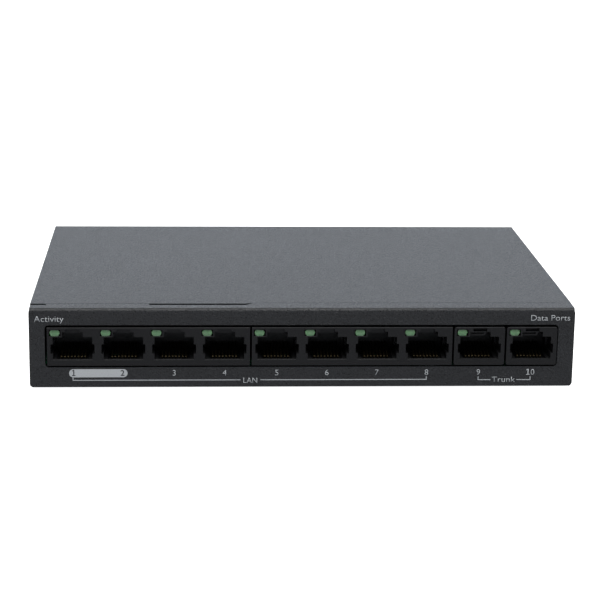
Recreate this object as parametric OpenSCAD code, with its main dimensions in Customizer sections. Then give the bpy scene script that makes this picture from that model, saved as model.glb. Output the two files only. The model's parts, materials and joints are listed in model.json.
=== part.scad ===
// Desktop network switch: folded steel case, ten front jacks, DC inlet at the rear.
// +X is right, +Y runs from the front face to the back, +Z is up.
// The origin is on the supporting surface, under the middle of the object.

/* [Case] */
// Width of the front panel
body_w = 165.25; // [163:0.25:175]
// Depth from the front face to the rear face
body_d = 115.5; // [112:0.5:150]
// Height of the case without its feet
body_h = 24.7; // [24.5:0.1:28]
// Thickness of the steel sheet
sheet_t = 0.8; // [0.7:0.05:0.9]
// Outer radius of the fold between the front panel and its top flange
fold_r = 1.0; // [1:0.05:1.2]
// Outer radius of the other folds of the base
base_fold_r = 0.4; // [0.3:0.05:0.8]
// Outer radius of the cover's side folds
cover_fold_r = 0.2; // [0.15:0.05:0.6]
// Height of the rubber feet
foot_h = 2.0; // [1.5:0.5:4]
// Radius of the rubber feet
foot_r = 5.5; // [4:0.5:7]

/* [Seam] */
// Depth of the top flange on the left part of the front
flange_short = 4.2; // [4:0.1:5]
// Depth of the top flange on the right part of the front
flange_long = 6.55; // [6.4:0.05:7]
// Where the flange changes depth, measured from the middle
flange_step_x = -16.4; // [-20:0.1:-12]
// Tight gap between the flange and the cover
seam_gap = 0.25; // [0.15:0.05:0.3]
// Wide gap between the flange and the cover
seam_gap_wide = 1.8; // [0.8:0.05:1.9]

/* [Jacks] */
// Distance between neighbouring ports of a gang
port_pitch = 15.24; // [15.2:0.01:15.3]
// Width of a plug opening
plug_w = 11.85; // [11.7:0.05:11.9]
// Height of a plug opening
plug_h = 7.0; // [6.8:0.05:7.05]
// Depth of a plug opening behind the jack face
plug_depth = 13; // [12.5:0.1:13.2]
// Width of a single jack
single_w = 15.45; // [15.3:0.05:15.6]
// Gap between neighbouring jack housings
jack_gap = 0.6; // [0.4:0.1:0.8]
// Height of a jack housing above the circuit board
jack_h = 11.9; // [11.8:0.1:12.2]
// Depth of a jack housing behind its face
jack_d = 16.5; // [16:0.1:17]

/* [Contacts] */
// Angle of the resting spring wires above the jack floor
wire_rise_deg = 12.5; // [12:0.1:13]
// Length of a spring wire from its fold to its tip
wire_len = 8.6; // [8:0.1:8.8]
// Distance between neighbouring wires
wire_pitch = 1.016; // [1.01:0.001:1.02]

/* [Power inlet] */
// Sideways place of the inlet
inlet_x = 57; // [50:0.5:60]
// Radius of the inlet's barrel opening
barrel_r = 3.15; // [3.1:0.05:3.2]
// Radius of the inlet's centre pin
centre_pin_r = 1.05; // [1:0.05:1.25]

/* [Hidden] */
$fn = 48;
eps = 0.01;
reach = 1;

// Case, in a frame whose origin is the bottom middle of the front face
jack_proud = 0.15;
ground_head_h = 1.6;
ground_washer_t = 0.6;
front_y = -(body_d + ground_head_h + ground_washer_t - jack_proud) / 2;
cover_gap = 0.15;
base_w = body_w - 2 * sheet_t - 2 * cover_gap;
flange_w = body_w - 0.4;
panel_corner_r = 1.3;
base_join_z = sheet_t + 0.05;
panel_top_z = body_h - fold_r - 0.2;
cover_bottom_z = 0.3;
under_cover_z = body_h - sheet_t;
flange_under_z = under_cover_z - cover_gap;
rear_flange_d = 7;
// Stations along the front seam where the gap changes
seam_end_x = 77.7;
seam_dark_x = -46.7;
seam_slant = 1.2;

// Circuit board stack
standoff_h = 4.5;
board_t = 1.6;
board_z = sheet_t + standoff_h;
board_top_z = board_z + board_t;
board_w = 157;
board_front_y = 5;
board_rear_y = body_d - 2;
fixing_xs = [-73, 73];
fixing_front_y = 25;
fixing_rear_y = body_d - 11;
fixing_centre = [-4, 74];

// Jack rows: a gang of four, a gang of four, two single jacks
gang_w = 4 * port_pitch;
jacks_w = 2 * gang_w + 2 * single_w + 3 * jack_gap;
jacks_left_x = -jacks_w / 2 + 0.05;
gang_a_x = jacks_left_x + gang_w / 2;
gang_b_x = gang_a_x + gang_w + jack_gap;
single_9_x = gang_b_x + gang_w / 2 + jack_gap + single_w / 2;
single_10_x = single_9_x + single_w + jack_gap;
port_x = [
    for (i = [0:3]) gang_a_x + (i - 1.5) * port_pitch,
    for (i = [0:3]) gang_b_x + (i - 1.5) * port_pitch,
    single_9_x,
    single_10_x
];
panel_gap_left = 0.67;
panel_gap = 0.33;
panel_gap_low = 0.53;
panel_gap_high = 0.73;
opening_r = 1.2;

// Jack cavity
plug_floor_z = board_top_z + 1.95;
plug_top_z = plug_floor_z + plug_h;
notch_low_z = plug_floor_z + 1.79;
notch_high_z = plug_floor_z + 4.78;
notch_side = 0.67;
notch_depth = 9;
latch_low_z = plug_top_z + 1.6;
latch_high_z = plug_top_z + 2.4;
latch_wide = [-3.05, 3.15];
latch_narrow = [-2.2, 2.2];
latch_depth = 1.8;
ledge_t = 0.36;
tongue_low_z = plug_top_z + 0.75;
top_chamfer = 0.12;
lip_drop = 0.2;
lip_depth = 0.3;
lip_depth_single = 0.45;
bay_w = 9.6;
bay_low_z = board_top_z + 0.9;
bay_front_y = 0.8;
pin_window = [8.4, 12.2];

// Spring wires: the hinge of each is the middle of its fold
wire_w = 0.42;
wire_t = 0.25;
wire_fold_r = 0.42;
wire_fold_y = 3.9;
wire_fold_z = bay_low_z + 0.75;
tail_t = 0.25;
tail_rows = [9, 11.5];
tail_below = 1.2;

// Indicator lights in the jacks
led_x = -5.3;
led_z = plug_top_z + 1.2;
led_w = 2.98;
led_h = 1.9;
led_window = [-7, -3.5, plug_top_z + 0.22, plug_top_z + 2.22];
led_recess = 0.1;
led_lens_d = 1.1;
led_len = 8.8;
lead_w = 0.5;
lead_y = 17.2;
lead_spread = 0.95;

// Locating pegs under the jacks
peg_r = 1.5;
peg_y = 13.6;
peg_xs = [
    gang_a_x - port_pitch, gang_a_x + port_pitch,
    gang_b_x - port_pitch, gang_b_x + port_pitch,
    single_9_x - 6.1, single_9_x + 6.1,
    single_10_x - 6.1, single_10_x + 6.1
];

// Cover fixing: countersunk screws through dimples into ears of the base
ear_ys = [24, body_d - 18];
ear_z = 12;
ear_w = 13;
ear_h = 17;
dimple_d = 1.7;
ear_x = body_w / 2 - sheet_t - dimple_d;
screw_head_r = 2.8;
screw_r = 1.45;
screw_hole_r = 1.55;

// Side vents
vent_count = 13;
vent_pitch = 4;
vent_w = 2;
vent_low_z = 7.5;
vent_high_z = 17.5;

// Wall keyholes in the bottom
keyhole_xs = [-45, 45];
keyhole_y = 52;
keyhole_head_r = 4.2;
keyhole_slot_r = 2;
keyhole_travel = 7.5;

foot_inset = [13, 16];

// Power inlet, its mouth level with the rear face
inlet_w = 9;
inlet_h = 11;
inlet_len = 14.2;
inlet_z = board_top_z + 6.5;
barrel_depth = 10;
pin_tail_r = 0.8;
leaf_fold_y = body_d - 11.5;
leaf_fold_z = inlet_z - 3.9;
leaf_fold_r = 0.45;
leaf_rise_deg = 4;
leaf_len = 7.2;
leaf_w = 2.4;
leaf_t = 0.3;
leaf_bump_r = 0.55;
leaf_bump_at = 5.2;

ground_x = 71;
ground_z = 14;

// Moves a piece from the case's frame to the object's own frame
module seat() {
    translate([0, front_y, foot_h]) children();
}

// Extrudes a side view (Y, Z) along X, centred on the middle
module along_x(length) {
    rotate([90, 0, 90]) translate([0, 0, -length / 2]) linear_extrude(length) children();
}

// Extrudes a front view (X, Z) from y towards the back
module along_y(y, length) {
    translate([0, y + length, 0]) rotate([90, 0, 0]) linear_extrude(length) children();
}

// A block between two opposite corners
module block(low, high) {
    translate(low) cube(high - low);
}

// A rectangle between two corners with rounded corners
module rounded_rect(low, high, r) {
    translate([low.x + r, low.y]) square([high.x - low.x - 2 * r, high.y - low.y]);
    translate([low.x, low.y + r]) square([high.x - low.x, high.y - low.y - 2 * r]);
    for (x = [low.x + r, high.x - r], y = [low.y + r, high.y - r]) {
        translate([x, y]) circle(r);
    }
}

// The wall of a folded sheet that runs round a rectangle
module fold_ring(low, high, r) {
    difference() {
        rounded_rect(low, high, r);
        rounded_rect(
            low + [sheet_t, sheet_t],
            high - [sheet_t, sheet_t],
            max(r - sheet_t, 0) + 0.1
        );
    }
}

// Top view of the flange, grown by a gap: its rear edge is the front seam
module flange_outline(tight, wide) {
    side = body_w / 2 + reach;
    short = flange_short + seam_gap_wide - seam_gap;
    closed = tight / 5;
    polygon([
        [-side, -reach],
        [-side, flange_short + wide],
        [-seam_end_x, flange_short + wide],
        [-seam_end_x, short + tight],
        [seam_dark_x, short + tight],
        [seam_dark_x, flange_short + wide],
        [flange_step_x - seam_slant, flange_short + wide],
        [flange_step_x + seam_slant, flange_long + tight],
        [seam_end_x, flange_long + tight],
        [seam_end_x, flange_long + closed],
        [side, flange_long + closed],
        [side, -reach]
    ]);
}

// A slot for a mounting screw in the bottom: a head hole with a narrower slot
module keyhole() {
    translate([0, 0, -reach]) {
        cylinder(r = keyhole_head_r, h = sheet_t + 2 * reach);
        translate([0, keyhole_travel, 0]) cylinder(r = keyhole_slot_r, h = sheet_t + 2 * reach);
        translate([-keyhole_slot_r, 0, 0]) {
            cube([2 * keyhole_slot_r, keyhole_travel, sheet_t + 2 * reach]);
        }
    }
}

// Opening of the front panel round all the jacks
module jack_opening() {
    along_y(-reach, sheet_t + 2 * reach) {
        rounded_rect(
            [jacks_left_x - panel_gap_left, board_top_z - panel_gap_low],
            [jacks_left_x + jacks_w + panel_gap, board_top_z + jack_h + panel_gap_high],
            opening_r
        );
    }
}

// Front panel with its top flange, in one width
module front_fold() {
    difference() {
        along_y(0, sheet_t) {
            rounded_rect(
                [-body_w / 2, 0],
                [body_w / 2, panel_top_z + 2 * panel_corner_r],
                panel_corner_r
            );
        }
        block([-body_w, -reach, panel_top_z], [body_w, reach + sheet_t, body_h + 3]);
        block([-base_w / 2, -reach, -reach], [base_w / 2, sheet_t + reach, base_join_z]);
    }
    intersection() {
        along_x(flange_w) {
            intersection() {
                fold_ring([0, 0], [body_d, body_h], fold_r);
                translate([-reach, body_h - 2 * fold_r]) square([flange_long + reach, 3]);
            }
        }
        linear_extrude(body_h + reach) flange_outline(0, 0);
    }
}

// Bottom, rear panel and rear flange, between the side walls of the cover
module base_fold() {
    along_x(base_w) {
        difference() {
            fold_ring([0, 0], [body_d, flange_under_z], base_fold_r);
            translate([-reach, base_join_z]) square([body_d / 2, body_h]);
            translate([-reach, body_h / 2]) square([body_d - rear_flange_d + reach, body_h]);
        }
    }
}

// Ears of the base that take the cover screws
module base_ears() {
    for (side = [-1, 1], y = ear_ys) {
        translate([side * (ear_x - sheet_t / 2), y, 0]) {
            difference() {
                translate([-sheet_t / 2, -ear_w / 2, sheet_t / 2]) cube([sheet_t, ear_w, ear_h]);
                translate([-reach, 0, ear_z]) rotate([0, 90, 0]) cylinder(r = screw_r + 0.05, h = 3);
            }
        }
    }
}

module base_chassis() {
    color([0.2, 0.21, 0.22]) seat() difference() {
        union() {
            front_fold();
            base_fold();
            base_ears();
        }
        jack_opening();
        for (x = keyhole_xs) {
            translate([x, keyhole_y, 0]) keyhole();
        }
        block(
            [inlet_x - inlet_w / 2 - 0.2, body_d - 3, board_top_z - 0.2],
            [inlet_x + inlet_w / 2 + 0.2, body_d + reach, board_top_z + inlet_h + 0.2]
        );
        translate([ground_x, body_d - 3, ground_z]) {
            rotate([-90, 0, 0]) cylinder(r = screw_hole_r, h = 5);
        }
    }
}

// Round dimple pressed into a side wall of the cover, with the wall at x = 0
module dimple_wall() {
    rotate([0, -90, 0]) cylinder(r1 = screw_head_r + 1.3, r2 = screw_r + 1.1, h = dimple_d);
}

// The hollow of a dimple and its screw hole, from the outer face of the wall inwards
module dimple_hollow() {
    rotate([0, -90, 0]) {
        cylinder(r1 = screw_head_r + 0.15, r2 = screw_r + 0.25, h = dimple_d);
        cylinder(r = screw_r + 0.25, h = dimple_d + 3);
        translate([0, 0, -reach]) cylinder(r = screw_head_r + 0.15, h = reach);
    }
}

// Side view (Y, Z) of one upright vent slot with round ends
module vent_outline() {
    r = vent_w / 2;
    translate([-r, vent_low_z + r]) square([vent_w, vent_high_z - vent_low_z - vent_w]);
    for (z = [vent_low_z + r, vent_high_z - r]) {
        translate([0, z]) circle(r);
    }
}

module top_cover() {
    wall_mid_y = body_d / 2 + 2;
    color([0.42, 0.44, 0.46]) seat() difference() {
        union() {
            difference() {
                along_y(sheet_t + cover_gap, body_d - sheet_t - cover_gap) {
                    difference() {
                        fold_ring([-body_w / 2, -5], [body_w / 2, body_h], cover_fold_r);
                        translate([-body_w, -20 + cover_bottom_z]) square([2 * body_w, 20]);
                    }
                }
                translate([0, 0, flange_under_z]) {
                    linear_extrude(3) flange_outline(seam_gap, seam_gap_wide);
                }
            }
            block(
                [-78, 2.6, flange_under_z - sheet_t],
                [78, flange_long + 3, flange_under_z]
            );
            block(
                [-78, flange_long + 0.6, flange_under_z - sheet_t],
                [78, flange_long + 3, under_cover_z + 0.1]
            );
            for (side = [-1, 1], y = ear_ys) {
                translate([side * (body_w / 2 - sheet_t + 0.05), y, ear_z]) {
                    mirror([side < 0 ? 1 : 0, 0, 0]) dimple_wall();
                }
            }
        }
        for (side = [-1, 1], y = ear_ys) {
            translate([side * body_w / 2, y, ear_z]) {
                mirror([side < 0 ? 1 : 0, 0, 0]) dimple_hollow();
            }
        }
        for (i = [0:vent_count - 1]) {
            translate([0, wall_mid_y + (i - (vent_count - 1) / 2) * vent_pitch, 0]) {
                along_x(body_w + 2 * reach) vent_outline();
            }
        }
    }
}

// Countersunk screw along -Z from its flat top at the origin, with a cross recess
module countersunk_screw(length) {
    head_h = 1.45;
    difference() {
        union() {
            translate([0, 0, -head_h]) cylinder(r1 = screw_r, r2 = screw_head_r, h = head_h);
            translate([0, 0, -length]) cylinder(r = screw_r, h = length - head_h / 2);
        }
        cross_recess(0.9);
    }
}

// Pan head screw along -Z, its head standing on the origin's plane
module pan_screw(head_r, head_h, length) {
    difference() {
        union() {
            cylinder(r = head_r, h = head_h * 0.6);
            translate([0, 0, head_h * 0.6]) cylinder(r1 = head_r, r2 = head_r * 0.72, h = head_h * 0.4);
            translate([0, 0, -length]) cylinder(r = screw_r, h = length + head_h / 2);
        }
        translate([0, 0, head_h]) cross_recess(head_h * 0.6);
    }
}

module cross_recess(depth) {
    for (turn = [0, 90]) {
        rotate([0, 0, turn]) translate([-1.4, -0.28, -depth]) cube([2.8, 0.56, depth + reach]);
    }
}

module cover_screws() {
    color([0.13, 0.13, 0.14]) seat() {
        for (side = [-1, 1], y = ear_ys) {
            translate([side * (body_w / 2 - 0.12), y, ear_z]) {
                rotate([0, side * 90, 0]) countersunk_screw(5);
            }
        }
    }
}

module rubber_feet() {
    color([0.08, 0.08, 0.08]) seat() {
        for (side = [-1, 1], y = [foot_inset.y, body_d - foot_inset.y]) {
            translate([side * (body_w / 2 - foot_inset.x), y, -foot_h]) {
                cylinder(r1 = foot_r - 0.5, r2 = foot_r, h = foot_h * 0.6);
                translate([0, 0, foot_h * 0.6]) cylinder(r = foot_r, h = foot_h * 0.4);
            }
        }
    }
}

module insulating_sheet() {
    film_t = 0.3;
    color([0.9, 0.88, 0.8]) seat() difference() {
        block([-70, 9, sheet_t], [70, body_d - 7, sheet_t + film_t]);
        for (x = keyhole_xs) {
            block(
                [x - 6, keyhole_y - 6, 0],
                [x + 6, keyhole_y + keyhole_travel + 4, sheet_t + reach]
            );
        }
        translate([fixing_centre.x, fixing_centre.y, 0]) cylinder(r = 4.2, h = 3);
    }
}

// The places of the screws that hold the board
module at_fixings(z) {
    for (x = fixing_xs, y = [fixing_front_y, fixing_rear_y]) {
        translate([x, y, z]) children();
    }
    translate([fixing_centre.x, fixing_centre.y, z]) children();
}

// A square hole through the board
module lead_hole(x, y, size) {
    block([x - size / 2, y - size / 2, board_z - reach], [x + size / 2, y + size / 2, board_top_z + reach]);
}

module main_pcb() {
    tab_clear = 0.2;
    color([0.1, 0.35, 0.2]) seat() difference() {
        block([-board_w / 2, board_front_y, board_z], [board_w / 2, board_rear_y, board_top_z]);
        at_fixings(board_z - reach) cylinder(r = 1.7, h = board_t + 2 * reach);
        for (x = peg_xs) {
            translate([x, peg_y, board_z - reach]) cylinder(r = peg_r + 0.15, h = board_t + 2 * reach);
        }
        for (x = port_x) {
            for (i = [0:7]) {
                lead_hole(x + (i - 3.5) * wire_pitch, tail_rows[i % 2], 0.8);
            }
            for (side = [-1, 1]) {
                lead_hole(x + led_x + side * lead_spread, lead_y, 0.9);
            }
        }
        for (tab = inlet_tabs) {
            block(
                tab[0] - [tab_clear, tab_clear, 0],
                [tab[1].x + tab_clear, tab[1].y + tab_clear, board_top_z + reach]
            );
        }
    }
}

module pcb_standoffs() {
    color([0.7, 0.7, 0.68]) seat() at_fixings(sheet_t) difference() {
        cylinder(r = 3.1, h = standoff_h, $fn = 6);
        translate([0, 0, 0.6]) cylinder(r = screw_r + 0.03, h = standoff_h);
    }
}

module pcb_screws() {
    color([0.7, 0.7, 0.68]) seat() at_fixings(board_top_z) pan_screw(2.75, 1.9, 5);
}

// The plug opening with its side notches
module plug_cavity() {
    front = -jack_proud - reach;
    block([-plug_w / 2, front, plug_floor_z], [plug_w / 2, plug_depth, plug_top_z]);
    block(
        [-plug_w / 2 - notch_side, front, notch_low_z],
        [plug_w / 2 + notch_side, notch_depth, notch_high_z]
    );
}

// Stepped notch for the latch of a plug: open low down, blind above
module latch_notch(wide, narrow, low_z, high_z) {
    front = -jack_proud - reach;
    block([wide[0], front, plug_top_z - eps], [wide[1], plug_depth, low_z]);
    block([narrow[0], front, low_z - eps], [narrow[1], latch_depth, high_z]);
}

// Tongue that hangs from the blind step into the latch notch of a gang
module latch_tongue(narrow, low_z) {
    block(
        [narrow[0] - 0.1, latch_depth, tongue_low_z],
        [narrow[1] - 0.1, latch_depth + 0.4, low_z + 0.2]
    );
}

// Thin ledge between the two steps of a latch notch of a single jack
module latch_ledge(wide, narrow, low_z) {
    block(
        [wide[0] - 0.2, 0.6, low_z - ledge_t],
        [narrow[1] - 0.15, latch_depth + 0.3, low_z]
    );
}

// Hooked bar under the ledge of a single jack
module latch_hook(wide, low_z) {
    bar = 0.35;
    low = plug_top_z + 0.15;
    along_y(0.8, 0.8) {
        translate([wide[0] - 0.2, low]) square([4.6, bar]);
        polygon([
            [wide[0] + 4, low],
            [wide[0] + 4.6, low],
            [wide[0] + 5.1, low_z - ledge_t / 2],
            [wide[0] + 4.5, low_z - ledge_t / 2]
        ]);
    }
}

// Room for the spring wires under the plug, with a window down to the board
module contact_bay() {
    block([-bay_w / 2, bay_front_y, bay_low_z], [bay_w / 2, plug_depth, plug_floor_z + eps]);
    block(
        [-bay_w / 2 + 0.2, pin_window[0], board_top_z - reach],
        [bay_w / 2 - 0.2, pin_window[1], bay_low_z + eps]
    );
}

// Slanted lower lip of an opening, as wide as the opening
module lip_chamfer(x0, x1, z, drop, depth) {
    translate([(x0 + x1) / 2, 0, 0]) along_x(x1 - x0) {
        polygon([
            [-jack_proud - reach, z + eps],
            [-jack_proud - reach, z - drop * (1 + reach / depth)],
            [-jack_proud + depth, z + eps]
        ]);
    }
}

// Broken upper front edge of a housing
module top_edge_cut(width) {
    z = board_top_z + jack_h;
    along_x(width + 2 * reach) {
        polygon([
            [-jack_proud - reach, z - top_chamfer - reach],
            [-jack_proud + top_chamfer + reach, z + reach],
            [-jack_proud - reach, z + reach]
        ]);
    }
}

// Everything that is cut from a housing for one port
module port_cut(wide, narrow, low_z, high_z, depth) {
    plug_cavity();
    latch_notch(wide, narrow, low_z, high_z);
    contact_bay();
    lip_chamfer(-plug_w / 2, plug_w / 2, plug_floor_z, lip_drop, depth);
    lip_chamfer(led_window[0], led_window[1], led_window[2], lip_drop - 0.05, depth - 0.05);
    block(
        [led_window[0], -jack_proud - reach, led_window[2]],
        [led_window[1], jack_d + reach, led_window[3]]
    );
}

// Locating pegs of the housing that lies between x0 and x1
module pegs(x0, x1) {
    for (x = peg_xs) {
        if (x > x0 && x < x1) {
            translate([x, peg_y, board_z - 0.6]) {
                cylinder(r = peg_r, h = board_t + 0.6 + reach);
            }
        }
    }
}

module jack_gang(first, x) {
    seat() {
        difference() {
            union() {
                block(
                    [x - gang_w / 2, -jack_proud, board_top_z],
                    [x + gang_w / 2, jack_d - jack_proud, board_top_z + jack_h]
                );
                pegs(x - gang_w / 2, x + gang_w / 2);
            }
            for (i = [0:3]) {
                translate([port_x[first - 1 + i], 0, 0]) {
                    port_cut(latch_wide, latch_narrow, latch_low_z, latch_high_z, lip_depth);
                }
            }
            translate([x, 0, 0]) top_edge_cut(gang_w);
        }
        for (i = [0:3]) {
            translate([port_x[first - 1 + i], 0, 0]) {
                latch_tongue(latch_narrow, latch_low_z);
            }
        }
    }
}

// A single jack has rounded corners, a slightly taller latch notch and a flatter lip
module jack_single(x) {
    corner_r = 0.6;
    wide = [-2.95, 3.3];
    narrow = [-2, 2.2];
    low_z = latch_low_z - 0.08;
    seat() {
        difference() {
            union() {
                translate([x, 0, 0]) along_y(-jack_proud, jack_d) {
                    rounded_rect(
                        [-single_w / 2, board_top_z],
                        [single_w / 2, board_top_z + jack_h],
                        corner_r
                    );
                }
                pegs(x - single_w / 2, x + single_w / 2);
            }
            translate([x, 0, 0]) {
                port_cut(wide, narrow, low_z, latch_high_z + 0.25, lip_depth_single);
                top_edge_cut(single_w);
            }
        }
        translate([x, 0, 0]) {
            latch_ledge(wide, narrow, low_z);
            latch_hook(wide, low_z);
        }
    }
}

module jack_housing_1_4() {
    color([0.09, 0.09, 0.1]) jack_gang(1, gang_a_x);
}

module jack_housing_5_8() {
    color([0.09, 0.09, 0.1]) jack_gang(5, gang_b_x);
}

module jack_housing_9() {
    color([0.1, 0.1, 0.11]) jack_single(single_9_x);
}

module jack_housing_10() {
    color([0.1, 0.1, 0.11]) jack_single(single_10_x);
}

// Eight spring wires of one port, each with a round fold that it flexes about
module contacts(port) {
    color([0.85, 0.68, 0.3]) seat() {
        for (i = [0:7]) {
            translate([port_x[port - 1] + (i - 3.5) * wire_pitch, wire_fold_y, wire_fold_z]) {
                rotate([0, 90, 0]) cylinder(r = wire_fold_r, h = wire_w, center = true);
                rotate([wire_rise_deg, 0, 0]) {
                    translate([-wire_w / 2, 0, wire_fold_r - wire_t]) cube([wire_w, wire_len, wire_t]);
                }
            }
        }
    }
}

// Fixed ends of the wires: along the floor of the jack and down through the board
module contact_tails() {
    color([0.85, 0.68, 0.3]) seat() {
        for (x = port_x, i = [0:7]) {
            wire_x = x + (i - 3.5) * wire_pitch;
            tail_y = tail_rows[i % 2];
            block(
                [wire_x - wire_w / 2, wire_fold_y, bay_low_z],
                [wire_x + wire_w / 2, tail_y + tail_t / 2, bay_low_z + tail_t]
            );
            block(
                [wire_x - wire_w / 2, tail_y - tail_t / 2, board_z - tail_below],
                [wire_x + wire_w / 2, tail_y + tail_t / 2, bay_low_z + tail_t]
            );
        }
    }
}

// One light: an oval lens in front of a square body
module led(port) {
    w = led_w / 2;
    h = led_h / 2;
    color([0.35, 0.55, 0.35]) seat() translate([port_x[port - 1] + led_x, 0, led_z]) {
        along_y(led_recess, led_lens_d) {
            polygon([
                [-w * 0.62, h], [w * 0.62, h], [w * 0.93, h * 0.62], [w, h * 0.1],
                [w * 0.84, -h * 0.6], [w * 0.62, -h], [-w * 0.62, -h],
                [-w * 0.84, -h * 0.6], [-w, h * 0.1], [-w * 0.93, h * 0.62]
            ]);
        }
        block(
            [-w * 0.95, led_recess + led_lens_d, -h * 0.95],
            [w * 0.95, led_recess + led_len, h * 0.95]
        );
    }
}

module led_leads() {
    color([0.75, 0.75, 0.73]) seat() {
        for (x = port_x, side = [-1, 1]) {
            lead_x = x + led_x + side * lead_spread;
            block(
                [lead_x - lead_w / 2, led_recess + led_len, led_z - lead_w / 2],
                [lead_x + lead_w / 2, lead_y + lead_w / 2, led_z + lead_w / 2]
            );
            block(
                [lead_x - lead_w / 2, lead_y - lead_w / 2, board_z - tail_below],
                [lead_x + lead_w / 2, lead_y + lead_w / 2, led_z]
            );
        }
    }
}

// A chip package on the board with flat leads along both long sides
module chip(x, y, size, leads, pitch) {
    foot = 1.1;
    translate([x, y, board_top_z]) {
        translate([-size.x / 2, -size.y / 2, 0.1]) cube([size.x, size.y, size.z]);
        for (side = [-1, 1], i = [0:leads - 1]) {
            translate([
                (i - (leads - 1) / 2) * pitch - pitch / 4,
                side * (size.y / 2 + foot / 2) - foot / 2 - 0.1 * side,
                0
            ]) {
                cube([pitch / 2, foot, 0.25]);
            }
        }
    }
}

module lan_transformers() {
    color([0.12, 0.12, 0.13]) seat() {
        for (i = [0:4]) {
            chip((i - 2) * 28.5, 35, [17, 11, 5.8], 8, 1.9);
        }
    }
}

module switch_chip() {
    color([0.1, 0.1, 0.1]) seat() {
        chip(14, 54, [14, 14, 1.3], 16, 0.8);
    }
}

module heatsink() {
    size = 22;
    fins = 8;
    color([0.75, 0.76, 0.78]) seat() translate([14, 54, board_top_z + 1.4]) {
        translate([-size / 2, -size / 2, 0]) cube([size, size, 2]);
        for (i = [0:fins - 1]) {
            translate([-size / 2 + i * (size - 1) / (fins - 1), -size / 2, 2 - eps]) {
                cube([1, size, 7]);
            }
        }
    }
}

module config_memory() {
    color([0.1, 0.1, 0.1]) seat() chip(-14, 52, [5, 4, 1.5], 4, 1.27);
}

module crystal() {
    color([0.8, 0.8, 0.82]) seat() {
        translate([33, 48, board_top_z]) linear_extrude(3.5) {
            rounded_rect([-5.5, -2.3], [5.5, 2.3], 2.2);
        }
    }
}

module poe_controllers() {
    color([0.1, 0.1, 0.1]) seat() {
        for (x = [-58, -34]) {
            chip(x, 60, [8, 8, 1], 12, 0.6);
        }
    }
}

module poe_transistors() {
    color([0.1, 0.1, 0.1]) seat() {
        for (i = [0:7]) {
            translate([-69 + i * 6.5, 46, board_top_z]) {
                translate([-2, -1.8, 0.1]) cube([4, 3.6, 1.6]);
                translate([-1.6, 1.7, 0]) cube([3.2, 1.4, 0.3]);
                translate([-0.4, -3.1, 0]) cube([0.8, 1.4, 0.3]);
            }
        }
    }
}

// An upright can capacitor with a pressed groove near its foot
module can_capacitor(r, h) {
    rotate_extrude() {
        polygon([
            [0, 0], [r, 0], [r, h * 0.12], [r * 0.92, h * 0.16],
            [r, h * 0.2], [r, h - 0.4], [r - 0.4, h], [0, h]
        ]);
    }
}

module bulk_capacitors() {
    color([0.15, 0.16, 0.2]) seat() {
        for (x = [14, 26, 38]) {
            translate([x, 92, board_top_z]) can_capacitor(5, 12.5);
        }
    }
}

module small_capacitors() {
    color([0.15, 0.16, 0.2]) seat() {
        for (place = [[64, 60], [64, 69], [-20, 84], [-60, 84], [-40, 84]]) {
            translate([place.x, place.y, board_top_z]) can_capacitor(3.15, 7);
        }
    }
}

module power_inductor() {
    color([0.25, 0.25, 0.26]) seat() translate([50, 74, board_top_z]) {
        linear_extrude(6) rounded_rect([-6, -6], [6, 6], 1.5);
    }
}

module power_converter_chip() {
    color([0.1, 0.1, 0.1]) seat() chip(38, 70, [5, 4, 1.5], 4, 1.27);
}

module power_diode() {
    color([0.1, 0.1, 0.1]) seat() translate([38, 79, board_top_z]) {
        translate([-3.4, -2.9, 0.1]) cube([6.8, 5.8, 2.2]);
        translate([-4.1, -1.5, 0]) cube([8.2, 3, 0.4]);
    }
}

module input_fuse() {
    color([0.85, 0.8, 0.6]) seat() translate([50, 92, board_top_z]) {
        translate([-4.5, -1.4, 0]) cube([1.6, 2.8, 2.6]);
        translate([2.9, -1.4, 0]) cube([1.6, 2.8, 2.6]);
        translate([-3, -1.2, 0.1]) cube([6, 2.4, 2.3]);
    }
}

// Low and high corners of the solder tabs under the inlet
inlet_tabs = [
    [
        [inlet_x - 1.1, body_d - inlet_len - 0.7, board_z - tail_below],
        [inlet_x + 1.1, body_d - inlet_len - 0.2, inlet_z + 0.5]
    ],
    [
        [inlet_x - 1.1, body_d - 10.5, board_z - tail_below],
        [inlet_x + 1.1, body_d - 10, board_top_z]
    ],
    [
        [inlet_x + inlet_w / 2 + 0.1, body_d - 12.4, board_z - tail_below],
        [inlet_x + inlet_w / 2 + 0.6, body_d - 10.2, board_top_z + 4]
    ]
];

module dc_jack_body() {
    slot_low_z = leaf_fold_z - 0.9;
    color([0.07, 0.07, 0.08]) seat() difference() {
        block(
            [inlet_x - inlet_w / 2, body_d - inlet_len, board_top_z],
            [inlet_x + inlet_w / 2, body_d, board_top_z + inlet_h]
        );
        translate([inlet_x, body_d - barrel_depth, inlet_z]) rotate([-90, 0, 0]) {
            cylinder(r = barrel_r, h = barrel_depth + reach);
            translate([0, 0, barrel_depth - 0.5]) cylinder(r1 = barrel_r, r2 = barrel_r + 0.5, h = 0.5);
        }
        translate([inlet_x, body_d - inlet_len - reach, inlet_z]) rotate([-90, 0, 0]) {
            cylinder(r = pin_tail_r + 0.02, h = inlet_len);
        }
        block(
            [inlet_x - leaf_w / 2 - 0.3, leaf_fold_y - 0.8, slot_low_z],
            [inlet_x + leaf_w / 2 + 0.3, leaf_fold_y + leaf_len + 0.6, inlet_z - barrel_r / 2]
        );
    }
}

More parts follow.
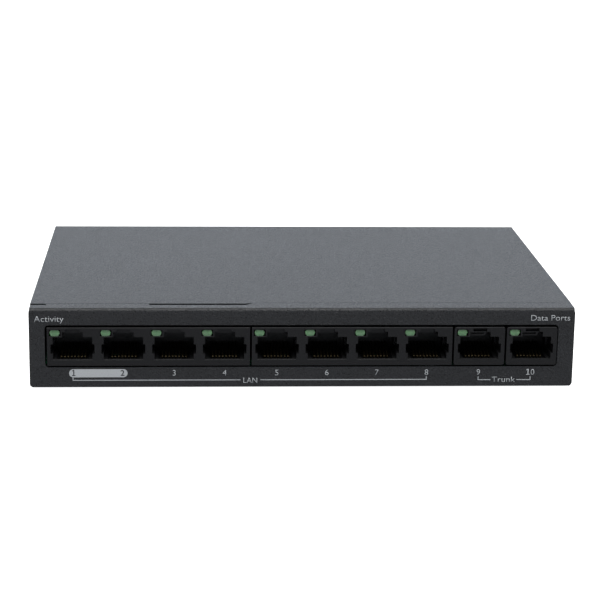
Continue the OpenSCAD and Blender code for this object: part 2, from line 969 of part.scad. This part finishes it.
module dc_jack_pin() {
    tip = 0.4;
    free = barrel_depth - 1.2 - tip;
    color([0.8, 0.8, 0.78]) seat() {
        translate([inlet_x, body_d - barrel_depth, inlet_z]) rotate([-90, 0, 0]) {
            cylinder(r = centre_pin_r, h = free);
            translate([0, 0, free]) cylinder(r1 = centre_pin_r, r2 = centre_pin_r - tip, h = tip);
            translate([0, 0, barrel_depth - inlet_len - 0.2]) {
                cylinder(r = pin_tail_r, h = inlet_len - barrel_depth + 0.3);
            }
        }
    }
}

// Side contact of the inlet: a leaf with a round fold and a bump that meets the plug
module dc_jack_spring() {
    color([0.8, 0.78, 0.6]) seat() {
        translate([inlet_x, leaf_fold_y, leaf_fold_z]) {
            rotate([0, 90, 0]) cylinder(r = leaf_fold_r, h = leaf_w, center = true);
            rotate([leaf_rise_deg, 0, 0]) {
                translate([-leaf_w / 2, 0, -leaf_t / 2]) cube([leaf_w, leaf_len, leaf_t]);
                translate([0, leaf_bump_at, leaf_bump_r / 2]) {
                    rotate([0, 90, 0]) cylinder(r = leaf_bump_r, h = leaf_w, center = true);
                }
            }
        }
    }
}

module dc_jack_tabs() {
    color([0.8, 0.8, 0.78]) seat() {
        for (tab = inlet_tabs) {
            block(tab[0], tab[1]);
        }
    }
}

module ground_screw() {
    color([0.75, 0.75, 0.73]) seat() {
        translate([ground_x, body_d + ground_washer_t, ground_z]) {
            rotate([-90, 0, 0]) pan_screw(3, ground_head_h, 6.5);
        }
    }
}

module ground_washer() {
    color([0.75, 0.75, 0.73]) seat() {
        translate([ground_x, body_d, ground_z]) rotate([-90, 0, 0]) {
            difference() {
                cylinder(r = 3.6, h = ground_washer_t);
                translate([0, 0, -reach]) cylinder(r = screw_hole_r, h = 3);
            }
        }
    }
}

module ground_nut() {
    nut_h = 2.4;
    color([0.7, 0.7, 0.68]) seat() {
        translate([ground_x, body_d - sheet_t - nut_h, ground_z]) rotate([-90, 0, 0]) {
            difference() {
                cylinder(r = 3.2, h = nut_h, $fn = 6);
                translate([0, 0, -reach]) cylinder(r = screw_r + 0.03, h = 5);
            }
        }
    }
}

base_chassis();
top_cover();
cover_screws();
rubber_feet();
insulating_sheet();
main_pcb();
pcb_standoffs();
pcb_screws();
jack_housing_1_4();
jack_housing_5_8();
jack_housing_9();
jack_housing_10();
contacts(1);  // contacts_1
contacts(2);  // contacts_2
contacts(3);  // contacts_3
contacts(4);  // contacts_4
contacts(5);  // contacts_5
contacts(6);  // contacts_6
contacts(7);  // contacts_7
contacts(8);  // contacts_8
contacts(9);  // contacts_9
contacts(10);  // contacts_10
contact_tails();
led(1);  // led_1
led(2);  // led_2
led(3);  // led_3
led(4);  // led_4
led(5);  // led_5
led(6);  // led_6
led(7);  // led_7
led(8);  // led_8
led(9);  // led_9
led(10);  // led_10
led_leads();
lan_transformers();
switch_chip();
heatsink();
config_memory();
crystal();
poe_controllers();
poe_transistors();
bulk_capacitors();
small_capacitors();
power_inductor();
power_converter_chip();
power_diode();
input_fuse();
dc_jack_body();
dc_jack_pin();
dc_jack_spring();
dc_jack_tabs();
ground_screw();
ground_washer();
ground_nut();
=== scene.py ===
"""Looks of a desktop network switch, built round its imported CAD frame."""

import json
import math

import bmesh
import bpy
from mathutils import Matrix, Vector


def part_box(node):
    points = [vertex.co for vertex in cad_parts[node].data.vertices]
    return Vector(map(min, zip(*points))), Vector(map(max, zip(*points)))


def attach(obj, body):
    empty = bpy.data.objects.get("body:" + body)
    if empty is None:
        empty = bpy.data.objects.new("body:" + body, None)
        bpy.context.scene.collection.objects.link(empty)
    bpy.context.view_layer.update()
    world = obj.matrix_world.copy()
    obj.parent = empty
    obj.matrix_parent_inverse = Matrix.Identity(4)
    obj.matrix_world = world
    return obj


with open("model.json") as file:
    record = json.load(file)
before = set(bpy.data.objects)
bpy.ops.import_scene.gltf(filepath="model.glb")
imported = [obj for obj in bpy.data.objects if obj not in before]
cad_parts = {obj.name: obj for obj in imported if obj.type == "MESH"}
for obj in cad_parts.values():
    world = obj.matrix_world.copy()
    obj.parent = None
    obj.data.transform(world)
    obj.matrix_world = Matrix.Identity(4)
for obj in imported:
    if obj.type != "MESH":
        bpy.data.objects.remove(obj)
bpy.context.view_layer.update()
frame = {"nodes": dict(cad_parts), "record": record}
NODES = frame["nodes"]
MM = 0.001
BODY = "chassis"

# The case's own frame: the top middle of the front face
case_low, case_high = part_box("base_chassis")
FRONT_Y = case_low[1]
TOP_Z = case_high[2]
CASE_W = (case_high[0] - case_low[0]) / MM
PORTS = range(1, 11)
port_x = {}
for port in PORTS:
    low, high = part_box(f"contacts_{port}")
    port_x[port] = (low[0] + high[0]) / 2 / MM


def at(x, y, z):
    """A point given in millimetres of the case's own frame, as a place in the shared frame."""
    return Vector((x * MM, FRONT_Y + y * MM, TOP_Z + z * MM))


# ---------------------------------------------------------------- camera and light

# Where the camera stands in the case's own frame, in millimetres
CAMERA_PLACE = (-34.25, -537.25, 142.6)
# How it is turned to the right, tipped down and rolled, in degrees
CAMERA_TURN = (3.505, 14.575, 0.866)
# Its focal length and the width of its sensor, in millimetres
FOCAL_LENGTH = 110.925
SENSOR_WIDTH = 36

# World light above the horizon, just under it, well below it, and low down behind the object
DIM_LIGHT = (0.13, 0.134, 0.142)
HORIZON_LIGHT = (1.5, 1.55, 1.66)
LOW_LIGHT = (0.36, 0.37, 0.39)
BACK_LIGHT = (1.5, 1.61, 1.75)

# Numbers of a mix node's colour sockets: its two inputs and its result
MIX_FIRST, MIX_SECOND, MIX_RESULT = 6, 7, 2


def make_camera():
    """The camera stands in front, left of the middle, and looks down a little."""
    yaw, pitch, roll = (math.radians(angle) for angle in CAMERA_TURN)
    forward = Vector((
        math.sin(yaw) * math.cos(pitch),
        math.cos(yaw) * math.cos(pitch),
        -math.sin(pitch),
    ))
    level = Vector((math.cos(yaw), -math.sin(yaw), 0))
    steep = level.cross(forward)
    right = level * math.cos(roll) + steep * math.sin(roll)
    up = steep * math.cos(roll) - level * math.sin(roll)
    data = bpy.data.cameras.new("camera")
    data.sensor_width = SENSOR_WIDTH
    data.lens = FOCAL_LENGTH
    data.clip_start = 0.01
    data.clip_end = 20
    camera = bpy.data.objects.new("camera", data)
    turn = Matrix((right, up, -forward)).transposed().to_4x4()
    camera.matrix_world = Matrix.Translation(at(*CAMERA_PLACE)) @ turn
    bpy.context.scene.collection.objects.link(camera)
    bpy.context.scene.camera = camera


def area_light(name, place, target, size, power):
    """A soft box at a place in the scene, in metres, facing a target; power is in watts."""
    data = bpy.data.lights.new(name, "AREA")
    data.shape = "RECTANGLE"
    data.size, data.size_y = size
    data.energy = power
    light = bpy.data.objects.new(name, data)
    away = Vector(place) - Vector(target)
    turn = away.to_track_quat("Z", "Y").to_matrix().to_4x4()
    light.matrix_world = Matrix.Translation(place) @ turn
    bpy.context.scene.collection.objects.link(light)


def mix_colors(tree, factor, first, second):
    """A mix of two colours, either of them a socket or a plain colour."""
    mix = tree.nodes.new("ShaderNodeMix")
    mix.data_type = "RGBA"
    tree.links.new(factor, mix.inputs["Factor"])
    for number, color in ((MIX_FIRST, first), (MIX_SECOND, second)):
        if isinstance(color, tuple):
            mix.inputs[number].default_value = (*color, 1)
        else:
            tree.links.new(color, mix.inputs[number])
    return mix.outputs[MIX_RESULT]


def make_world():
    """A soft studio: bright low down behind the object. Elsewhere the light is dim above the
    horizon, bright just under it, and dimmer again further down."""
    world = bpy.data.worlds.new("studio")
    world.use_nodes = True
    tree = world.node_tree
    nodes, links = tree.nodes, tree.links
    background = nodes["Background"]
    split = nodes.new("ShaderNodeSeparateXYZ")
    links.new(nodes.new("ShaderNodeTexCoord").outputs["Generated"], split.inputs[0])

    def mask(axis, start, end):
        """Rises from 0 to 1 as the direction's part along an axis goes from start to end."""
        span = nodes.new("ShaderNodeMapRange")
        span.interpolation_type = "SMOOTHSTEP"
        span.inputs["From Min"].default_value = start
        span.inputs["From Max"].default_value = end
        links.new(split.outputs[axis], span.inputs["Value"])
        return span.outputs[0]

    under_horizon = mask("Z", 0.03, -0.2)
    well_below = mask("Z", -0.2, -0.36)
    behind = nodes.new("ShaderNodeMath")
    behind.operation = "MULTIPLY"
    links.new(mask("Y", 0.0, 0.7), behind.inputs[0])
    links.new(mask("Z", 0.5, 0.2), behind.inputs[1])
    upper = mix_colors(tree, under_horizon, DIM_LIGHT, HORIZON_LIGHT)
    lower = mix_colors(tree, well_below, upper, LOW_LIGHT)
    studio = mix_colors(tree, behind.outputs[0], lower, BACK_LIGHT)
    links.new(studio, background.inputs["Color"])
    background.inputs["Strength"].default_value = 1.0
    bpy.context.scene.world = world


def make_floor():
    """A plain pale floor under the feet. It glows, but doesn't light the object."""
    half = 6  # metres
    mesh = bpy.data.meshes.new("floor")
    corners = [(-half, -half, 0), (half, -half, 0), (half, half, 0), (-half, half, 0)]
    mesh.from_pydata(corners, [], [(0, 1, 2, 3)])
    floor = bpy.data.objects.new("floor", mesh)
    bpy.context.scene.collection.objects.link(floor)
    material, shader = new_material("floor_white", (0.6, 0.6, 0.6), roughness=0.8, specular=0.1)
    shader.inputs["Emission Color"].default_value = (1, 1, 1, 1)
    shader.inputs["Emission Strength"].default_value = 1.0
    floor.data.materials.append(material)
    floor.visible_diffuse = False
    floor.visible_glossy = False


# ---------------------------------------------------------------- materials

def new_material(name, color, roughness, metallic=0.0, specular=0.5):
    """A principled material and its shader node."""
    material = bpy.data.materials.new(name)
    material.use_nodes = True
    shader = material.node_tree.nodes["Principled BSDF"]
    shader.inputs["Base Color"].default_value = (*color, 1)
    shader.inputs["Roughness"].default_value = roughness
    shader.inputs["Metallic"].default_value = metallic
    shader.inputs["Specular IOR Level"].default_value = specular
    return material, shader


class Surface:
    """Adds procedural detail to one material, in millimetres of the object."""

    def __init__(self, name, color, roughness, metallic=0.0, specular=0.5):
        self.material, self.shader = new_material(name, color, roughness, metallic, specular)
        self.color = color
        self.roughness = roughness
        self.nodes = self.material.node_tree.nodes
        self.links = self.material.node_tree.links
        self.place = self.nodes.new("ShaderNodeTexCoord").outputs["Object"]

    def stretched(self, scale):
        """Coordinates with each axis multiplied, for brushed or drawn grain."""
        mapping = self.nodes.new("ShaderNodeMapping")
        mapping.inputs["Scale"].default_value = scale
        self.links.new(self.place, mapping.inputs["Vector"])
        return mapping.outputs[0]

    def noise(self, size_mm, detail=2.0, place=None):
        """Noise whose blobs are about size_mm wide."""
        node = self.nodes.new("ShaderNodeTexNoise")
        node.inputs["Scale"].default_value = 1 / (size_mm * MM)
        node.inputs["Detail"].default_value = detail
        self.links.new(place or self.place, node.inputs["Vector"])
        return node.outputs["Fac"]

    def cells(self, size_mm):
        """Voronoi distance, for a pebbled or pitted skin."""
        node = self.nodes.new("ShaderNodeTexVoronoi")
        node.inputs["Scale"].default_value = 1 / (size_mm * MM)
        self.links.new(self.place, node.inputs["Vector"])
        return node.outputs["Distance"]

    def spread(self, value, low, high, from_low=0.3, from_high=0.7):
        """A value mapped to run from low to high."""
        node = self.nodes.new("ShaderNodeMapRange")
        node.inputs["From Min"].default_value = from_low
        node.inputs["From Max"].default_value = from_high
        node.inputs["To Min"].default_value = low
        node.inputs["To Max"].default_value = high
        self.links.new(value, node.inputs["Value"])
        return node.outputs[0]

    def blend_color(self, factor, first, second):
        """A mix of two colours, either of them a socket or a plain colour."""
        return mix_colors(self.material.node_tree, factor, first, second)

    def tint(self, value, darker, lighter):
        """Colours the surface between two multiples of its own colour."""
        low = tuple(c * darker for c in self.color)
        high = tuple(c * lighter for c in self.color)
        output = self.blend_color(value, low, high)
        self.links.new(output, self.shader.inputs["Base Color"])
        return output

    def vary_roughness(self, value, amount):
        """Roughness that wanders by an amount either way."""
        output = self.spread(value, self.roughness - amount, self.roughness + amount)
        self.links.new(output, self.shader.inputs["Roughness"])

    def bump(self, value, height_mm, after=None):
        """Bumps of a height; after chains them on earlier ones."""
        node = self.nodes.new("ShaderNodeBump")
        node.inputs["Distance"].default_value = height_mm * MM
        node.inputs["Strength"].default_value = 1
        self.links.new(value, node.inputs["Height"])
        if after is not None:
            self.links.new(after, node.inputs["Normal"])
        self.links.new(node.outputs[0], self.shader.inputs["Normal"])
        return node.outputs[0]


def case_paint():
    """Fine textured powder coat, nearly black, with a satin glance."""
    s = Surface("case_paint", (0.0105, 0.0112, 0.0128), roughness=0.4)
    grain = s.noise(0.32, detail=1)
    orange_peel = s.noise(0.6, detail=2)
    s.tint(s.spread(grain, 0, 1), darker=0.4, lighter=1.7)
    s.vary_roughness(grain, 0.13)
    s.bump(grain, 0.2, after=s.bump(orange_peel, 0.2))
    return s.material


def jack_plastic():
    """Moulded black plastic with a fine matte grain."""
    s = Surface("jack_plastic", (0.0095, 0.0095, 0.0103), roughness=0.5, specular=0.24)
    grain = s.noise(0.34, detail=2)
    s.tint(grain, darker=0.55, lighter=1.5)
    s.vary_roughness(grain, 0.12)
    s.bump(grain, 0.03)
    return s.material


def contact_gold():
    """Thinly gold flashed spring wire with rubbed patches. Its colour is darkened to near black
    as painted shade, standing in for the shade deep inside the jack.
    """
    # Painted shade: the base colour is gold darkened far down, for the shade inside the jack's
    # cavity.
    s = Surface("contact_gold", (0.06, 0.047, 0.026), roughness=0.5, metallic=1)
    rub = s.noise(1.2, detail=3, place=s.stretched((3, 0.4, 1)))
    s.tint(rub, darker=0.7, lighter=1.05)
    s.vary_roughness(rub, 0.1)
    return s.material


def led_lens():
    """Tinted lens of an unlit green light, hazy inside. Light and shade are painted on it by
    height: a painted highlight across the middle, painted shade towards the top and bottom.
    """
    s = Surface("led_lens", (0.115, 0.25, 0.115), roughness=0.3, specular=0.4)
    # Painted light: a colour ramp by height, paler across the middle as a painted highlight and
    # darker at top and bottom as painted shade.
    low, high = (corner[2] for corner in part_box("led_1"))
    split = s.nodes.new("ShaderNodeSeparateXYZ")
    s.links.new(s.place, split.inputs[0])
    height = s.spread(split.outputs["Z"], 0, 1, from_low=low, from_high=high)
    ramp = s.nodes.new("ShaderNodeValToRGB")
    ramp.color_ramp.elements.new(0.45)
    painted_light_stops = ((0.0, (0.05, 0.12, 0.06)), (0.45, s.color), (1.0, (0.036, 0.12, 0.032)))
    for element, (place, color) in zip(ramp.color_ramp.elements, painted_light_stops):
        element.position = place
        element.color = (*color, 1)
    s.links.new(height, ramp.inputs["Fac"])
    haze = s.noise(0.7, detail=2)
    tinted = s.blend_color(s.spread(haze, 0, 0.45), ramp.outputs["Color"], (0.16, 0.34, 0.15))
    s.links.new(tinted, s.shader.inputs["Base Color"])
    s.vary_roughness(s.noise(0.3), 0.05)
    s.shader.inputs["Subsurface Weight"].default_value = 0.3
    s.shader.inputs["Subsurface Radius"].default_value = (0.3, 1.0, 0.4)
    s.shader.inputs["Subsurface Scale"].default_value = 0.4 * MM
    s.shader.inputs["Coat Weight"].default_value = 0.3
    s.shader.inputs["Coat Roughness"].default_value = 0.2
    s.bump(haze, 0.02)
    return s.material


def foot_rubber():
    """Matte rubber with a pebbled skin."""
    s = Surface("foot_rubber", (0.018, 0.018, 0.018), roughness=0.8, specular=0.3)
    pebbles = s.cells(0.5)
    s.tint(pebbles, darker=0.8, lighter=1.3)
    s.bump(pebbles, 0.03)
    return s.material


def board_mask():
    """Green solder mask over copper tracks and a glass weave."""
    s = Surface("board_mask", (0.005, 0.04, 0.02), roughness=0.3, specular=0.5)
    tracks = s.nodes.new("ShaderNodeTexBrick")
    tracks.inputs["Scale"].default_value = 1
    tracks.inputs["Brick Width"].default_value = 7 * MM
    tracks.inputs["Row Height"].default_value = 0.9 * MM
    tracks.inputs["Mortar Size"].default_value = 0.14 * MM
    tracks.inputs["Color1"].default_value = (0.012, 0.11, 0.05, 1)
    tracks.inputs["Color2"].default_value = (0.016, 0.13, 0.06, 1)
    tracks.inputs["Mortar"].default_value = (0.008, 0.06, 0.03, 1)
    s.links.new(s.place, tracks.inputs["Vector"])
    s.links.new(tracks.outputs["Color"], s.shader.inputs["Base Color"])
    weave = s.noise(0.4, detail=1)
    s.bump(tracks.outputs["Fac"], -0.03, after=s.bump(weave, 0.006))
    s.vary_roughness(s.noise(6), 0.06)
    return s.material


def chip_epoxy():
    """Moulded epoxy of chips and transformers."""
    s = Surface("chip_epoxy", (0.02, 0.02, 0.021), roughness=0.6, specular=0.35)
    grain = s.noise(0.12, detail=1)
    s.tint(s.noise(3, detail=2), darker=0.8, lighter=1.25)
    s.bump(grain, 0.008)
    return s.material


def plated_steel():
    """Zinc plated steel with fine turning marks."""
    s = Surface("plated_steel", (0.56, 0.57, 0.58), roughness=0.32, metallic=1)
    marks = s.noise(0.15, detail=2, place=s.stretched((1, 1, 0.12)))
    s.tint(s.noise(1.6, detail=3), darker=0.8, lighter=1.1)
    s.vary_roughness(marks, 0.1)
    s.bump(marks, 0.004)
    return s.material


def black_screw():
    """Black oxide on steel."""
    s = Surface("black_screw", (0.025, 0.025, 0.027), roughness=0.4, metallic=0.6)
    s.tint(s.noise(0.8, detail=3), darker=0.8, lighter=1.4)
    s.vary_roughness(s.noise(0.3), 0.1)
    return s.material


def tin_lead():
    """Tinned copper, slightly uneven."""
    s = Surface("tin_lead", (0.66, 0.66, 0.64), roughness=0.3, metallic=1)
    dip = s.noise(0.7, detail=2)
    s.tint(dip, darker=0.8, lighter=1.05)
    s.bump(dip, 0.02)
    return s.material


def film():
    """Cream insulating film with a soft sheen."""
    s = Surface("film", (0.55, 0.52, 0.42), roughness=0.35, specular=0.5)
    waves = s.noise(18, detail=2)
    s.tint(waves, darker=0.92, lighter=1.05)
    s.bump(waves, 0.3)
    return s.material


def can_sleeve():
    """Dark shrink sleeve, with the bare can showing on top."""
    s = Surface("can_sleeve", (0.02, 0.025, 0.045), roughness=0.3, specular=0.5)
    geometry = s.nodes.new("ShaderNodeNewGeometry")
    split = s.nodes.new("ShaderNodeSeparateXYZ")
    s.links.new(geometry.outputs["Normal"], split.inputs[0])
    top = s.spread(split.outputs["Z"], 0, 1, from_low=0.85, from_high=0.95)
    wrapped = s.tint(s.noise(3, detail=2), darker=0.85, lighter=1.2)
    s.links.new(s.blend_color(top, wrapped, (0.6, 0.61, 0.62)), s.shader.inputs["Base Color"])
    s.links.new(top, s.shader.inputs["Metallic"])
    return s.material


def ferrite():
    """Sintered ferrite with small pits."""
    s = Surface("ferrite", (0.05, 0.05, 0.053), roughness=0.65, specular=0.4)
    pits = s.cells(0.35)
    s.tint(s.noise(1.5, detail=3), darker=0.8, lighter=1.2)
    s.bump(pits, 0.02)
    return s.material


def heatsink_aluminium():
    """Extruded aluminium with drawn lines along the fins."""
    s = Surface("heatsink_aluminium", (0.62, 0.63, 0.64), roughness=0.35, metallic=1)
    lines = s.noise(0.2, detail=3, place=s.stretched((1, 0.03, 1)))
    s.tint(lines, darker=0.85, lighter=1.05)
    s.vary_roughness(lines, 0.1)
    s.bump(lines, 0.006)
    return s.material


def fuse_ceramic():
    """Cream ceramic with a fine grain."""
    s = Surface("fuse_ceramic", (0.6, 0.53, 0.38), roughness=0.55)
    grain = s.noise(0.3, detail=3)
    s.tint(grain, darker=0.9, lighter=1.08)
    s.bump(grain, 0.01)
    return s.material


def legend_ink():
    """Screen printed grey ink: a thin film with a slightly uneven edge and tone."""
    s = Surface("legend_ink", (0.5, 0.52, 0.53), roughness=0.5, specular=0.4)
    s.tint(s.noise(0.35, detail=2), darker=0.8, lighter=1.12)
    s.bump(s.noise(0.3), 0.004)
    return s.material


MAKERS = {
    "case_paint": case_paint,
    "jack_plastic": jack_plastic,
    "contact_gold": contact_gold,
    "led_lens": led_lens,
    "foot_rubber": foot_rubber,
    "board": board_mask,
    "chip_epoxy": chip_epoxy,
    "plated_steel": plated_steel,
    "black_screw": black_screw,
    "tin_lead": tin_lead,
    "film": film,
    "can_sleeve": can_sleeve,
    "ferrite": ferrite,
    "heatsink_aluminium": heatsink_aluminium,
    "fuse_ceramic": fuse_ceramic,
    "legend_ink": legend_ink,
}
MATERIALS = {slot: make() for slot, make in MAKERS.items()}


def dress_cad_nodes():
    """Every CAD node takes the material of its slot."""
    for entry in frame["record"]["subparts"]:
        mesh = NODES[entry["node"]].data
        mesh.materials.clear()
        mesh.materials.append(MATERIALS[entry["material_slot"]])
        for polygon in mesh.polygons:
            polygon.material_index = 0


# ---------------------------------------------------------------- edges of the CAD nodes

# Corners closer than this are one, in millimetres
WELD_MM = 0.002
# Faces that meet at less than the first angle are joined, and edges past the second rounded
FLAT_ANGLE = math.radians(0.4)
SHARP_ANGLE = math.radians(30)


def soften(node, width_mm, segments=2):
    """Rounds the sharp edges of a CAD node with modifiers, which leave its mesh as it is."""
    piece = NODES[node]
    weld = piece.modifiers.new("weld", "WELD")
    weld.merge_threshold = WELD_MM * MM
    flat = piece.modifiers.new("flat", "DECIMATE")
    flat.decimate_type = "DISSOLVE"
    flat.angle_limit = FLAT_ANGLE
    bevel = piece.modifiers.new("bevel", "BEVEL")
    bevel.width = width_mm * MM
    bevel.segments = segments
    bevel.limit_method = "ANGLE"
    bevel.angle_limit = SHARP_ANGLE
    bevel.use_clamp_overlap = True
    bevel.harden_normals = False
    normals = piece.modifiers.new("normals", "WEIGHTED_NORMAL")
    normals.keep_sharp = False
    normals.weight = 100
    for polygon in piece.data.polygons:
        polygon.use_smooth = True


# ---------------------------------------------------------------- printed legend

# Thickness of a film of ink and the gap behind it, in millimetres
INK_T = 0.012
INK_RIDE = 0.004
# Width of a printed line, in millimetres
LINE_W = 0.24
# Height of a capital of the font at size 1
FONT_CAP = 0.729
# How far outlines of letters move out at size 1: pale ones, and dark ones on a bar of ink
INK_OFFSET = -0.006
DARK_OFFSET = 0.012


def add_piece(name, mesh, slot):
    """A new piece that rides on the case, with the finish of a material slot."""
    piece = bpy.data.objects.new(name, mesh)
    bpy.context.scene.collection.objects.link(piece)
    piece.data.materials.append(MATERIALS[slot])
    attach(piece, BODY)


def thicken(work, faces):
    """Gives flat faces on the front panel the thickness of ink."""
    grown = bmesh.ops.extrude_face_region(work, geom=faces)
    moved = [v for v in grown["geom"] if isinstance(v, bmesh.types.BMVert)]
    bmesh.ops.translate(work, verts=moved, vec=(0, -INK_T * MM, 0))


def add_film(name, work, slot):
    """A new piece from the films of ink that were made in a work mesh."""
    bmesh.ops.recalc_face_normals(work, faces=work.faces)
    mesh = bpy.data.meshes.new(name)
    work.to_mesh(mesh)
    work.free()
    add_piece(name, mesh, slot)


def ink_film(name, outlines, ride=INK_RIDE, slot="legend_ink"):
    """Flat closed outlines in (X, Z) millimetres on the front panel, as thick as ink."""
    work = bmesh.new()
    for outline in outlines:
        thicken(work, [work.faces.new([work.verts.new(at(x, -ride, z)) for x, z in outline])])
    add_film(name, work, slot)


def letter_shapes(name, text, offset):
    """The flat faces of a text at size 1, in a work mesh."""
    curve = bpy.data.curves.new(name, "FONT")
    curve.body = text
    curve.size = 1
    curve.resolution_u = 4
    curve.offset = offset
    probe = bpy.data.objects.new(name + "_probe", curve)
    bpy.context.scene.collection.objects.link(probe)
    depsgraph = bpy.context.evaluated_depsgraph_get()
    flat = bpy.data.meshes.new_from_object(probe.evaluated_get(depsgraph))
    bpy.data.objects.remove(probe)
    work = bmesh.new()
    work.from_mesh(flat)
    bpy.data.meshes.remove(flat)
    bmesh.ops.remove_doubles(work, verts=work.verts, dist=1e-5)
    return work


def words(name, text, x, z, height, align="CENTER", width=None, ride=INK_RIDE, slot="legend_ink"):
    """Printed characters on the front panel: x is the middle or the side that they align to,
    z the baseline, height that of a capital, and width, if given, the whole text's."""
    work = letter_shapes(name, text, DARK_OFFSET if slot == "case_paint" else INK_OFFSET)
    low, high = (end(v.co.x for v in work.verts) for end in (min, max))
    start = {"LEFT": low, "CENTER": (low + high) / 2, "RIGHT": high}[align]
    tall = height / FONT_CAP
    wide = width / (high - low) if width else tall
    for vert in work.verts:
        vert.co = at(x + (vert.co.x - start) * wide, -ride, z + vert.co.y * tall)
    thicken(work, work.faces[:])
    add_film(name, work, slot)


def digit_one(x, z, height):
    """The outline of a 1 with a flag and a foot, round x, standing on z."""
    # Half widths of the stem and foot, and heights, as parts of the whole height
    stem, half_foot, foot_t = 0.085, 0.27, 0.13
    flag_high, flag_low, flag_root = 0.87, 0.74, 0.82
    shoulder = stem * 0.6
    outline = [
        (-half_foot, 0), (half_foot, 0), (half_foot, foot_t), (stem, foot_t), (stem, 1),
        (-shoulder, 1), (-half_foot, flag_high), (-half_foot, flag_low), (-stem, flag_root),
        (-stem, foot_t), (-half_foot, foot_t),
    ]
    return [(x + u * height, z + v * height) for u, v in outline]


def capsule(x0, x1, z0, z1):
    """The outline of a bar with round ends."""
    steps = 14
    angles = [math.pi * (i / steps - 0.5) for i in range(steps + 1)]
    r = (z1 - z0) / 2
    middle = (z0 + z1) / 2
    right = [(x1 - r + r * math.cos(a), middle + r * math.sin(a)) for a in angles]
    left = [(x0 + r - r * math.cos(a), middle - r * math.sin(a)) for a in angles]
    return right + left


def bracket(name, x0, x1, z, tick_top, gap):
    """A line under a group of ports, with a gap for its name and a tick up at each end."""
    half = LINE_W / 2
    ink_film(name, [
        [(x0 - half, z - half), (gap[0], z - half), (gap[0], z + half), (x0 + half, z + half),
         (x0 + half, tick_top), (x0 - half, tick_top)],
        [(gap[1], z - half), (x1 + half, z - half), (x1 + half, tick_top), (x1 - half, tick_top),
         (x1 - half, z + half), (gap[1], z + half)],
    ])


def print_end_words():
    """Generic words at both ends of the panel."""
    left, right = 1.6 - CASE_W / 2, CASE_W / 2 - 1.5
    words("legend_activity", "Activity", left, z=-4.1, height=1.9, align="LEFT", width=8.85)
    words("legend_kind", "Data Ports", right, z=-3.85, height=1.85, align="RIGHT", width=12.0)


def print_port_numbers():
    """A number under each port. Those of ports 1 and 2 are dark, on a bar of ink."""
    z, height = -21.0, 1.88
    ink_film("legend_pair", [capsule(x0=-70.8, x1=-53.2, z0=-21.48, z1=-18.9)])
    over_pair = {"ride": INK_RIDE + INK_T, "slot": "case_paint"}
    ink_film("legend_1", [digit_one(port_x[1] + 0.25, z, height)], **over_pair)
    words("legend_2", "2", port_x[2] - 0.35, z, height, **over_pair)
    for port in range(3, 10):
        words(f"legend_{port}", str(port), port_x[port], z, height)
    ink_film("legend_10_tens", [digit_one(port_x[10] - 0.72, z, height)])
    words("legend_10_ones", "0", port_x[10] + 0.66, z, height)


def print_groups():
    """A bracket and a generic name under each of the two groups of ports."""
    bracket("legend_group_a", port_x[1], port_x[8], z=-22.4, tick_top=-21.42, gap=(-19.1, -13.05))
    words("legend_group_a_name", "LAN", x=-16.1, z=-23.35, height=1.75, width=4.2)
    bracket("legend_group_b", port_x[9], port_x[10], z=-22.57, tick_top=-21.53, gap=(57.4, 65.4))
    words("legend_group_b_name", "Trunk", x=61.4, z=-23.3, height=1.8, width=7.2)


make_camera()
make_world()
make_floor()
area_light("top_box", place=(0.0, -0.8, 1.6), target=(0, -0.8, 0), size=(1.6, 2.2), power=47)

dress_cad_nodes()
for node in ("base_chassis", "top_cover"):
    soften(node, width_mm=0.05)
for port in PORTS:
    soften(f"led_{port}", width_mm=0.15, segments=3)
print_end_words()
print_port_numbers()
print_groups()

bpy.context.scene.view_settings.view_transform = "Standard"
